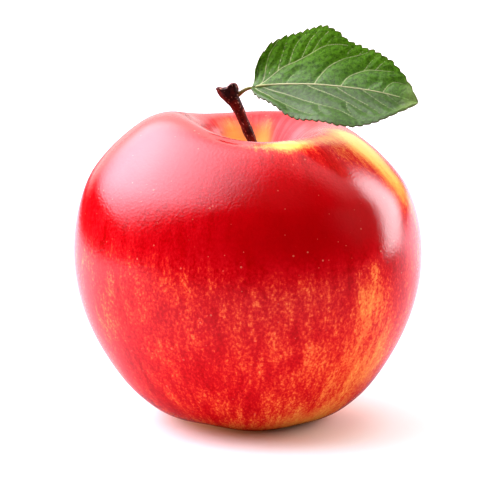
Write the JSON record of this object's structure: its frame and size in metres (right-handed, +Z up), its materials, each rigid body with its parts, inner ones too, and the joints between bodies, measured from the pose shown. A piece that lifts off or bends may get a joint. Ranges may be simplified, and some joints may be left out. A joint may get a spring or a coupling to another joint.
{
  "type": "whole apple with stem and leaf",
  "caption": "Whole ripe red apple with a lobed base, a woody stem leaning out of its cavity and a folded toothed green leaf on a short stalk.",
  "frame": {"origin": "on the ground below the middle of the fruit's box, with the fruit standing on its five low bumps", "axes": "+Z up from the calyx end to the stem end, -Y towards the side that is usually seen, +X to the right, the side where the leaf hangs"},
  "size_m": [0.0812, 0.0811, 0.0915],
  "materials": {
    "skin": "waxy glossy red skin mottled over yellow",
    "bark": "rough dark brown bark",
    "foliage": "satin green with pale veins",
    "dry_sepals": "matt dry brown"
  },
  "bodies": {
    "root": {"fruit": "skin", "stem": "bark", "leaf": "foliage", "calyx": "dry_sepals"}
  },
  "joints": []
}
